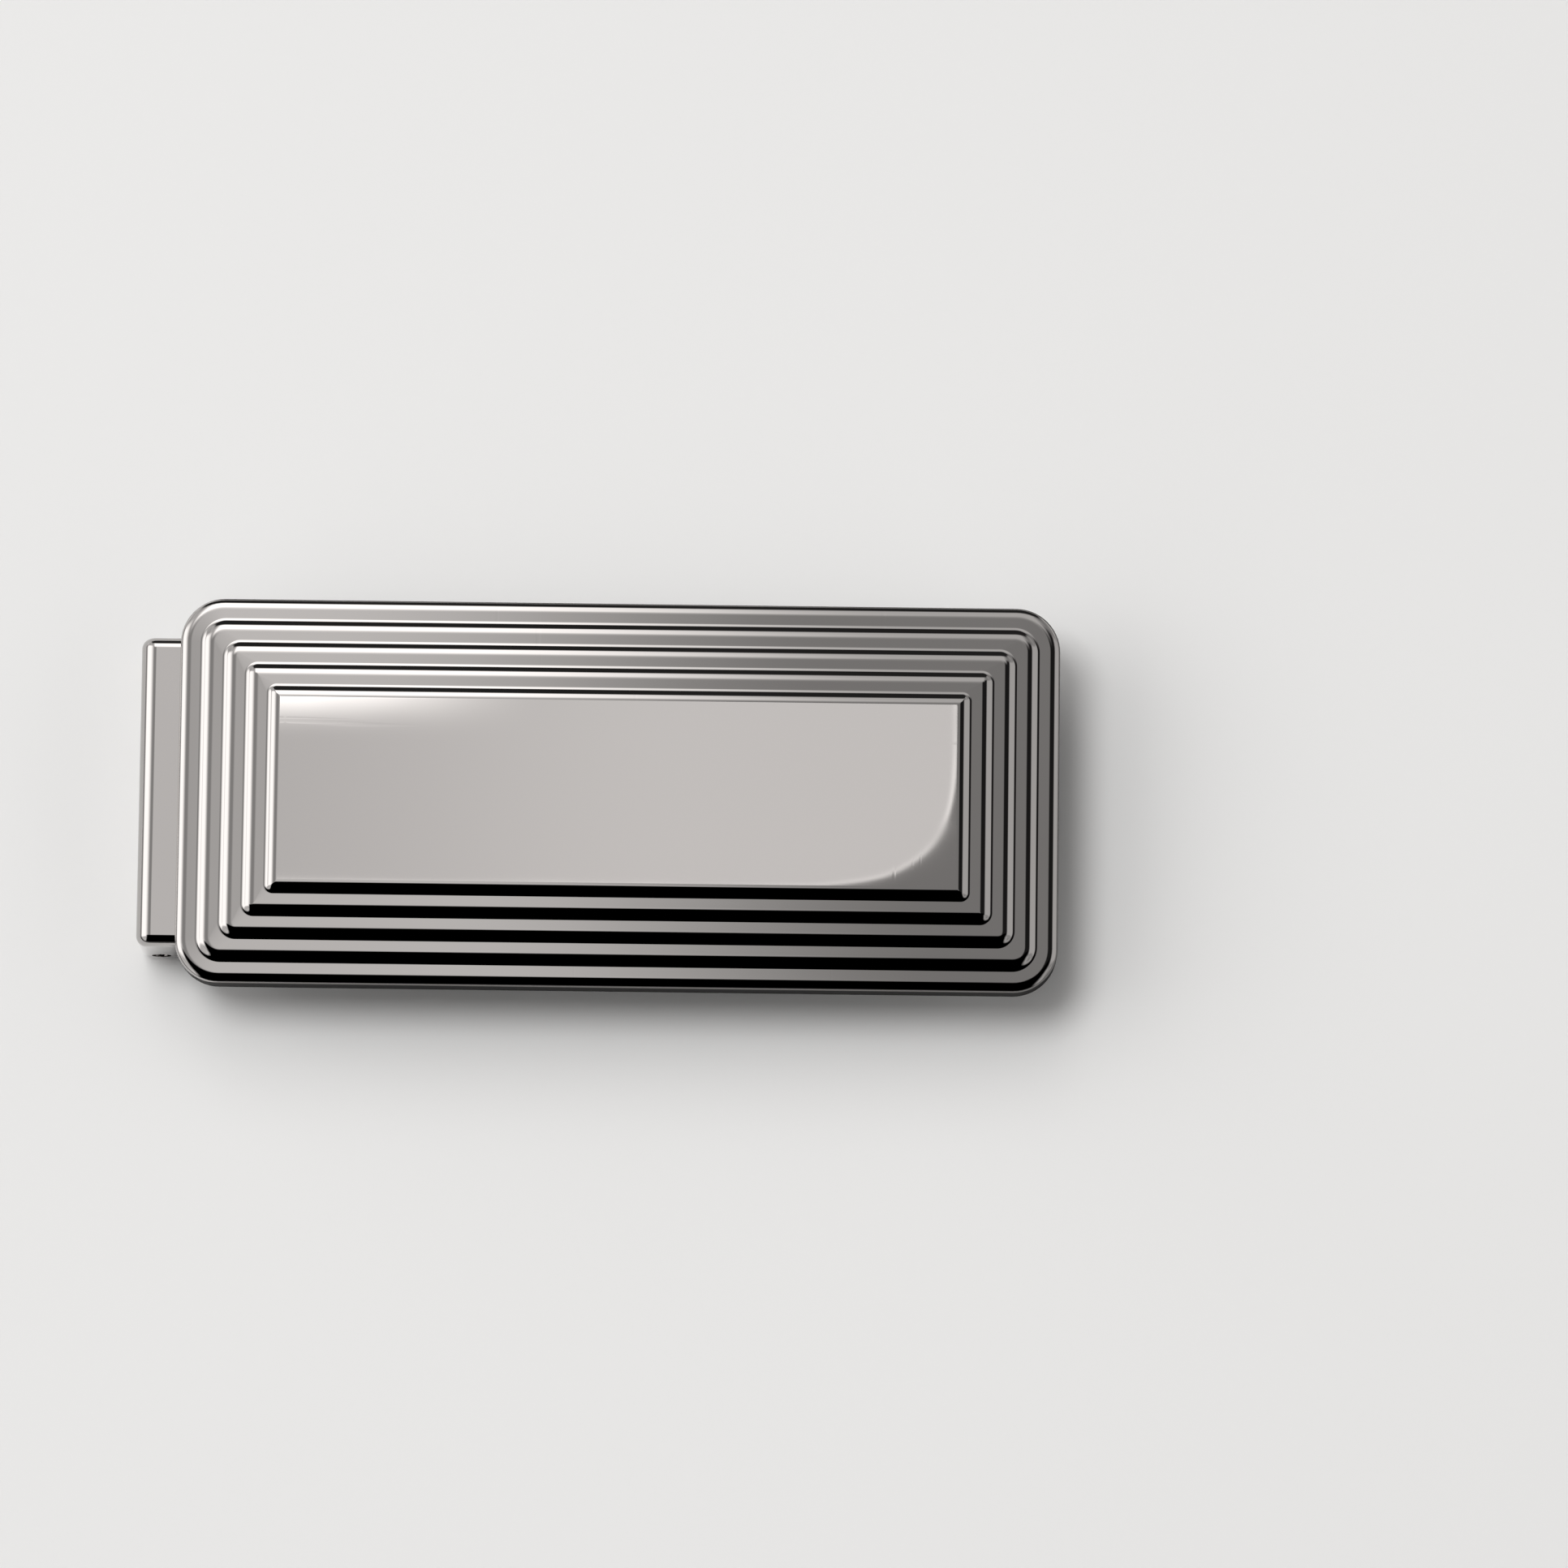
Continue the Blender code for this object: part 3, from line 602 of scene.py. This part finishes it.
# barrel: round, with the cam's flat on top and a foot on the arm
barrel = dict(radius=1.4 * mm, camDepth=0.25 * mm, foot=7.2 * mm, footThickness=0.8 * mm, bore=0.65 * mm,
    edge=0.12 * mm, edgeSteps=4, arcSteps=72)


def barrelOutline(inset):
    v = barrel
    pin = lowHigh("hinge_pin")[2]
    radius = v["radius"] - inset
    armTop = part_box("barrel_rivet_1")[1].z - rivets["footRivet"]["head"] - v["footThickness"]
    footLow, footHigh = armTop - pin.z + inset, armTop - pin.z + v["footThickness"] - inset
    start = degrees(asin(footHigh / radius))
    end = 360 + degrees(asin(footLow / radius))
    camFlat = v["radius"] - v["camDepth"] - inset
    ring = [(x, min(z, camFlat)) for x, z in arc((0, 0), radius, start, end, v["arcSteps"])]
    ring += [(v["foot"] - inset, footLow), (v["foot"] - inset, footHigh)]
    return [(pin.x + x, pin.z + z) for x, z in ring]


def makeBarrel():
    v = barrel
    low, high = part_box("hinge_barrel")
    pin = lowHigh("hinge_pin")[2]
    rows = roundedRows(low.y, high.y, v["edge"], v["edgeSteps"])
    piece = sweepAcross("hingeBarrel", barrelOutline, rows)
    tidyMesh(piece)
    holes = [cylinderMesh("bore", (pin.x, pin.z), v["bore"], low.y - 1 * mm, high.y + 1 * mm, "Y")]
    holes += [rivetHole("footRivet", place, 0, 3 * mm) for place in rivetPlaces("barrel_rivet", 2)]
    carve(piece, together("holes", holes))
    tidyMesh(piece)
    return finishPiece(piece, "arm", "spring_steel", springSteel, "hinge_barrel")


# clip arm: a strip with rounded edges, bowed up to a crest and flared at its tip
clipArm = dict(thickness=0.8 * mm, rise=12.0 * mm, lip=7.0 * mm, lipDrop=1.4 * mm,
    tipRadius=4.5 * mm, edge=0.26 * mm, edgeSteps=6, riseStations=36, tipStations=26)


def armHeight(x, crest, flatEnd, crestAt):
    v = clipArm
    flat = v["thickness"] / 2
    if x <= flatEnd:
        return flat
    if x <= crestAt:
        return flat + (crest - flat) * (1 - cos(pi * (x - flatEnd) / v["rise"])) / 2
    return crest - v["lipDrop"] * ((x - crestAt) / v["lip"]) ** 2


def makeArm():
    v = clipArm
    low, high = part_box("clip_arm")
    crestAt = high.x - v["lip"]
    flatEnd = crestAt - v["rise"]
    crest = high.z - v["thickness"] / 2
    tipAt = high.x - v["tipRadius"]
    half = high.y
    xs = [low.x + v["edge"] + (flatEnd - low.x - v["edge"]) * share for share in (0, 0.02, 0.5, 0.98)]
    xs += [flatEnd + v["rise"] * step / v["riseStations"] for step in range(v["riseStations"])]
    xs += [crestAt + (tipAt - crestAt) * step / 8 for step in range(8)]
    lastTurn = asin(1 - v["edge"] / v["tipRadius"])
    turns = [lastTurn * step / v["tipStations"] for step in range(v["tipStations"] + 1)]
    xs += [tipAt + v["tipRadius"] * sin(turn) for turn in turns]
    stations = [(x, 0.0) for x in xs]
    # the two ends are rounded like the sides
    for step in range(1, v["edgeSteps"] + 1):
        a = pi / 2 * step / v["edgeSteps"]
        out, shrink = v["edge"] * sin(a), v["edge"] * (1 - cos(a))
        stations.append((xs[-1] + out, shrink))
        stations.insert(0, (xs[0] - out, shrink))
    rows = []
    for x, shrink in stations:
        past = max(min(x, xs[-1]) - tipAt, 0.0)
        wide = half - v["tipRadius"] + sqrt(v["tipRadius"] ** 2 - past ** 2) - shrink
        thick = v["thickness"] / 2 - shrink
        z = armHeight(x, crest, flatEnd, crestAt)
        ahead = armHeight(x + 0.01 * mm, crest, flatEnd, crestAt)
        behind = armHeight(x - 0.01 * mm, crest, flatEnd, crestAt)
        lean = atan2(ahead - behind, 0.02 * mm)
        edge = v["edge"] - shrink * 0.98
        ring = []
        for sideY, sideN, start in ((1, 1, 0), (-1, 1, 90), (-1, -1, 180), (1, -1, 270)):
            corner = (sideY * (wide - edge), sideN * (thick - edge))
            for y, n in arc(corner, edge, start, start + 90, v["edgeSteps"]):
                ring.append((x - n * sin(lean), y, z + n * cos(lean)))
        rows.append(ring)
    arm = newPiece("clipArm", loft("clipArm", rows))
    tidyMesh(arm)
    places = rivetPlaces("barrel_rivet", 2)
    holes = [rivetHole("footRivet", place, -1 * mm, 2 * mm, sides=48) for place in places]
    carve(arm, together("holes", holes))
    seatTop = rivets["footRivet"]["head"] + 2 * clearance
    seats = [cylinderMesh("seat", place, place[4] + clearance, -1 * mm, seatTop, sides=64) for place in places]
    carve(arm, together("seats", seats))
    tidyMesh(arm)
    return finishPiece(arm, "arm", "polished_gunmetal", polished, "clip_arm")


# rivets: a point for each, its form picked by kind
def rivetForm(kind, length, headRadius):
    v = rivets[kind]
    chamfer = 0.07 * mm
    punch = headRadius * 0.16
    dome = 0.022 * mm
    # outwards from the punch mark in the middle, over the low dome, then round the rim
    profile = [(punch * 0.2, 0.05 * mm), (punch * 0.7, 0.035 * mm), (punch, 0.008 * mm), (punch * 1.25, 0.0),
        (headRadius * 0.55, 0.004 * mm), (headRadius * 0.8, 0.012 * mm), (headRadius - chamfer, dome),
        (headRadius - chamfer * 0.3, dome + chamfer * 0.4), (headRadius, dome + chamfer),
        (headRadius, v["head"])]
    shank, tip = v["shank"], 0.05 * mm
    if v["twoHeads"]:
        top = [(r, length - z) for r, z in reversed(profile)]
        profile += [(shank, v["head"]), (shank, length - v["head"])] + top
    else:
        profile += [(shank, v["head"]), (shank, length - tip), (shank - tip, length)]
    form = bpy.data.objects.new(kind, lathe(kind, profile, rivets["sides"]))
    return tidyMesh(form, 40)


def rivetTree():
    tree, sockets = newGroup("rivetSet", (("Forms", "Collection"), ("Seed", "Int"), ("Material", "Material")))
    given = tree.nodes.new("NodeGroupInput")
    forms = addNode(tree, "GeometryNodeCollectionInfo", {"Collection": given.outputs["Forms"],
        "Separate Children": True, "Reset Children": True})
    kind = addNode(tree, "GeometryNodeInputNamedAttribute", {"Name": "kind"}, data_type="INT")
    spin = addNode(tree, "FunctionNodeRandomValue", {"Min": (0, 0, 0), "Max": (0, 0, 2 * pi),
        "Seed": given.outputs["Seed"]}, data_type="FLOAT_VECTOR")
    placed = addNode(tree, "GeometryNodeInstanceOnPoints", {"Points": given.outputs["Geometry"],
        "Instance": outOf(forms), "Pick Instance": True, "Instance Index": outOf(kind),
        "Rotation": outOf(spin)})
    endGroup(tree, given, outOf(placed))
    return tree, sockets


def makeRivets():
    # the forms' order by name is their number in "kind"
    stems = {"backRivet": ("back_plate_rivet", 4), "footRivet": ("barrel_rivet", 2),
        "housingRivet": ("housing_rivet", 2), "springRivet": ("spring_rivet", 2)}
    shelf = bpy.data.collections.new("rivetForms")
    forms = []
    for kind in sorted(stems):
        bottom, top, radius = rivetPlaces(*stems[kind])[0][2:]
        forms.append(rivetForm(kind, top - bottom, radius))
        shelf.objects.link(forms[-1])
    tree, sockets = rivetTree()
    for name, body, kinds in (("frontRivets", "front", ("backRivet", "housingRivet", "springRivet")),
            ("armRivets", "arm", ("footRivet",))):
        spots, numbers, nodes = [], [], []
        for kind in kinds:
            stem, count = stems[kind]
            for number, place in enumerate(rivetPlaces(stem, count), 1):
                spots.append(place[:3])
                numbers.append(sorted(stems).index(kind))
                nodes.append(f"{stem}_{number}")
        piece = newPiece(name)
        piece.data.from_pydata(spots, [], [])
        piece.data.attributes.new("kind", "INT", "POINT").data.foreach_set("value", numbers)
        runGroup(piece, tree, sockets, {"Forms": shelf, "Seed": rivets["seed"], "Material": rivetSteel})
        tidyMesh(piece, 40)
        finishPiece(piece, body, "rivet_steel", rivetSteel, *nodes)
    for form in forms:
        bpy.data.objects.remove(form)
    bpy.data.collections.remove(shelf)


print("face plate")
makeFacePlate()
print("hinge housing, pin and barrel")
makeHousing()
makePin()
makeBarrel()
print("clip arm")
makeArm()
print("rivets")
makeRivets()

# pieces that keep the frame's own shape take a finer finish
print("finishes on the plain pieces")
for node, material in (("back_plate", satin), ("leaf_spring", springSteel),
        ("pin_washer_near", brass), ("pin_washer_far", brass)):
    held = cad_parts[node]
    held.data.materials.clear()
    held.data.materials.append(material)


# studio: pale floor, a soft sky, one overhead softbox, one key light, the camera
sky = dict(
    overhead=0.36, overheadLeft=1.04,          # straight above: right and left of the softbox
    surround=0.50, surroundLeft=0.88, horizon=1.05, unevenness=0.5,
    leftBox=2.35, leftFrom=0.52, leftGap=0.46,
    rightBox=0.74, rightFrom=0.66, rightGap=0.02,
    topBox=2.7, topBoxRight=0.82, topFrom=0.30, topEnd=0.80, topLow=0.03,
    frontLow=0.16, room=0.93)


def makeSky():
    v = sky
    world = bpy.data.worlds.new("studioSky")
    studio.world = world
    world.use_nodes = True
    tree = world.node_tree
    tree.nodes.clear()
    heading = outOf(addNode(tree, "ShaderNodeTexCoord"), "Generated")
    x, y, z = addNode(tree, "ShaderNodeSeparateXYZ", {0: heading}).outputs

    def layer(under, over, share):
        # over laid on under by share
        rest = calc(tree, "SUBTRACT", 1.0, share)
        return calc(tree, "MULTIPLY_ADD", over, share, calc(tree, "MULTIPLY", under, rest))

    def both(*shares):
        product = shares[0]
        for share in shares[1:]:
            product = calc(tree, "MULTIPLY", product, share)
        return product

    sideways = calc(tree, "ABSOLUTE", x)
    level = both(ramp(tree, y, -0.30, -0.10), ramp(tree, y, 0.58, 0.36))  # the band that the end risers see
    ahead = ramp(tree, sideways, 0.42, 0.20)  # the band that the top risers see
    # straight above, then a soft uneven room
    across = calc(tree, "MULTIPLY_ADD", calc(tree, "SUBTRACT", y, 0.08), 0.10, x)
    light = ramp(tree, across, -0.034, 0.018, v["overheadLeft"], v["overhead"])
    around = ramp(tree, x, 0.35, -0.55, v["surround"], v["surroundLeft"])
    around = layer(around, v["horizon"], ramp(tree, z, 0.30, 0.02))
    patches = outOf(addNode(tree, "ShaderNodeTexNoise", {"Vector": heading, "Scale": 2.6, "Detail": 1.0}))
    spread = v["unevenness"] / 2
    around = calc(tree, "MULTIPLY", around, ramp(tree, patches, 0.3, 0.7, 1 - spread, 1 + spread))
    light = layer(light, around, ramp(tree, z, 0.965, 0.90))
    # the end risers: a dark gap on each side, then the left and the right light
    light = layer(light, v["leftGap"], both(level, ramp(tree, x, -0.055, -0.16)))
    light = layer(light, v["rightGap"], both(level, ramp(tree, x, 0.10, 0.18)))
    # the top risers: a light that fades to the right, ended by a dark edge
    topLight = ramp(tree, x, -0.045, 0.022, v["topBox"], v["topBoxRight"])
    topShare = both(ahead, ramp(tree, y, v["topFrom"] - 0.12, v["topFrom"] + 0.10))
    light = layer(light, topLight, topShare)
    topDark = both(ramp(tree, sideways, 0.60, 0.42), ramp(tree, y, v["topEnd"] - 0.09, v["topEnd"] + 0.05))
    light = layer(light, v["topLow"], topDark)
    leftRise = ramp(tree, x, -(v["leftFrom"] - 0.22), -(v["leftFrom"] + 0.22))
    leftShare = both(level, leftRise, ramp(tree, z, 0.16, 0.34))
    light = layer(light, v["leftBox"], leftShare)
    rightShare = both(level, ramp(tree, x, v["rightFrom"] - 0.10, v["rightFrom"] + 0.06))
    light = layer(light, v["rightBox"], rightShare)
    # nothing in front: it keeps the near risers dark
    front = both(ramp(tree, y, 0.045, -0.03), ramp(tree, sideways, 0.62, 0.46))
    light = layer(light, 0.0, front)
    light = layer(light, v["frontLow"], both(ramp(tree, z, 0.26, 0.18), ramp(tree, y, 0.0, -0.3)))
    seen = outOf(addNode(tree, "ShaderNodeLightPath"), "Is Camera Ray")
    light = layer(light, v["room"], seen)
    background = addNode(tree, "ShaderNodeBackground", {"Color": (1.0, 0.985, 0.975, 1), "Strength": light})
    tree.links.new(outOf(background), addNode(tree, "ShaderNodeOutputWorld").inputs["Surface"])
    return world


softbox = dict(height=0.30, low=(-0.0410, 0.0260), high=(0.0320, 0.0560), bend=(0.00425, 0.0514),
    reach=(0.0240, 0.0175), squareness=4.2, left=0.98, right=1.22, rim=2.0, rimWidth=0.026, edge=0.008,
    glow=2.3, glowFrom=0.0462)


def makeSoftbox():
    # one flat panel of light overhead, with one broad rounded corner and a brighter rim round it
    v = softbox
    (x0, y0), (x1, y1) = v["low"], v["high"]
    mesh = bpy.data.meshes.new("overheadSoftbox")
    corners = [(x, y, v["height"]) for x, y in ((x0, y0), (x1, y0), (x1, y1), (x0, y1))]
    mesh.from_pydata(corners, [], [(0, 3, 2, 1)])
    card = newPiece("overheadSoftbox", mesh)
    material = bpy.data.materials.new("softboxCloth")
    material.use_nodes = True
    tree = material.node_tree
    tree.nodes.clear()
    place = outOf(addNode(tree, "ShaderNodeTexCoord"), "Object")
    x, y = addNode(tree, "ShaderNodeSeparateXYZ", {0: place}).outputs[:2]
    # how far in from the corner's outline, as a share of its reach
    powers = []
    rightward = calc(tree, "SUBTRACT", x, v["bend"][0])
    downward = calc(tree, "SUBTRACT", v["bend"][1], y)
    for past, reach in zip((rightward, downward), v["reach"]):
        share = calc(tree, "DIVIDE", calc(tree, "MAXIMUM", past, 0.0), reach)
        powers.append(calc(tree, "POWER", share, v["squareness"]))
    depth = calc(tree, "SUBTRACT", 1.0, calc(tree, "POWER", calc(tree, "ADD", *powers), 1 / v["squareness"]))
    inside = ramp(tree, depth, 0.0, v["edge"])
    body = ramp(tree, x, -0.045, 0.005, v["left"], v["right"])
    rim = ramp(tree, depth, v["rimWidth"], v["edge"], 0.0, v["rim"] - v["right"])
    # a hot stripe along the far side of its left half
    climb = calc(tree, "POWER", ramp(tree, y, v["glowFrom"], v["glowFrom"] + 0.0062), 2.4)
    stripe = calc(tree, "MULTIPLY", climb, ramp(tree, x, -0.010, -0.036))
    strength = calc(tree, "MULTIPLY_ADD", stripe, v["glow"], calc(tree, "ADD", body, rim))
    glow = addNode(tree, "ShaderNodeEmission", {"Color": (1.0, 0.985, 0.975, 1), "Strength": strength})
    clear = addNode(tree, "ShaderNodeBsdfTransparent")
    blend = addNode(tree, "ShaderNodeMixShader", {0: inside, 1: outOf(clear), 2: outOf(glow)})
    tree.links.new(outOf(blend), addNode(tree, "ShaderNodeOutputMaterial").inputs["Surface"])
    material.cycles.emission_sampling = "NONE"  # found by reflection alone, so it adds no grain
    mesh.materials.append(material)
    card.visible_camera = False
    card.visible_shadow = False
    card.visible_diffuse = False
    return card


# the three shares of the floor's colour that its reflections show are painted: painted shade near the plate
# and farther out, painted light beside the hinge
floor = dict(size=3.0, color=(0.86, 0.86, 0.855), roughness=0.75,
    shadePaintedNear=0.12, shadePaintedFar=0.42, lightPaintedHinge=1.10,
    darkReach=3.5 * mm, brightReach=14 * mm)


def makeFloor():
    half = floor["size"] / 2
    mesh = bpy.data.meshes.new("paleFloor")
    corners = [(-half, -half, 0), (half, -half, 0), (half, half, 0), (-half, half, 0)]
    mesh.from_pydata(corners, [], [(0, 1, 2, 3)])
    ground = newPiece("paleFloor", mesh)
    material = bpy.data.materials.new("paleFloor")
    material.use_nodes = True
    tree = material.node_tree
    shader = tree.nodes["Principled BSDF"]
    shader.inputs["Base Color"].default_value = (*floor["color"], 1)
    shader.inputs["Roughness"].default_value = floor["roughness"]
    shader.inputs["Specular IOR Level"].default_value = 0.1
    # painted reflection: in the polished metal the floor shows a painted colour instead of its own, painted
    # shade that is dark close to the plate and brighter farther out, and painted light, full and a touch
    # brighter than the floor itself, beside the hinge
    place = outOf(addNode(tree, "ShaderNodeTexCoord"), "Object")
    spot = addNode(tree, "ShaderNodeSeparateXYZ", {0: place}).outputs
    low, high, middle = lowHigh("face_plate")
    past = [calc(tree, "SUBTRACT", calc(tree, "ABSOLUTE", calc(tree, "SUBTRACT", spot[axis], middle[axis])),
        (high[axis] - low[axis]) / 2) for axis in (0, 1)]
    away = ramp(tree, calc(tree, "MAXIMUM", *past), floor["darkReach"], floor["brightReach"])
    near, far, free = (tuple(floor[share] * value for value in floor["color"])
        for share in ("shadePaintedNear", "shadePaintedFar", "lightPaintedHinge"))
    seen = mixColor(tree, away, near, far)
    seen = mixColor(tree, ramp(tree, spot[0], low.x + 0.4 * mm, low.x - 0.8 * mm), seen, free)
    # painted reflection: glossy rays see the painted colour, every other ray sees the floor's own colour
    paintedReflection = mixColor(tree, outOf(addNode(tree, "ShaderNodeLightPath"), "Is Glossy Ray"), floor["color"], seen)
    tree.links.new(paintedReflection, shader.inputs["Base Color"])
    mesh.materials.append(material)
    return ground


key = dict(place=(-0.17, 0.10, 0.66), size=0.26, power=1.75)


def makeKeyLight():
    lamp = bpy.data.lights.new("keyLight", "AREA")
    lamp.shape = "DISK"
    lamp.size = key["size"]
    lamp.energy = key["power"]
    light = bpy.data.objects.new("keyLight", lamp)
    studio.collection.objects.link(light)
    light.location = key["place"]
    light.rotation_mode = "QUATERNION"
    light.rotation_quaternion = (-Vector(key["place"])).to_track_quat("-Z", "Y")
    light.visible_glossy = False
    light.visible_camera = False
    return light


view = dict(distance=0.705, tilt=8.4, roll=0.72, lens=247.7, aim=(0.01212, 0.00085, 0.0075))


def makeCamera():
    lens = bpy.data.cameras.new("camera")
    lens.lens = view["lens"]
    lens.sensor_width = 36
    lens.clip_start, lens.clip_end = 0.01, 20
    camera = bpy.data.objects.new("camera", lens)
    studio.collection.objects.link(camera)
    tilt = radians(view["tilt"])
    back = Vector((0, -sin(tilt), cos(tilt)))
    camera.location = Vector(view["aim"]) + back * view["distance"]
    camera.rotation_mode = "QUATERNION"
    roll = Quaternion((0, 0, 1), radians(view["roll"]))
    camera.rotation_quaternion = (-back).to_track_quat("-Z", "Y") @ roll
    studio.camera = camera
    return camera


print("studio")
makeSky()
makeSoftbox()
makeFloor()
makeKeyLight()
makeCamera()
studio.view_settings.view_transform = "Standard"
studio.view_settings.look = "None"
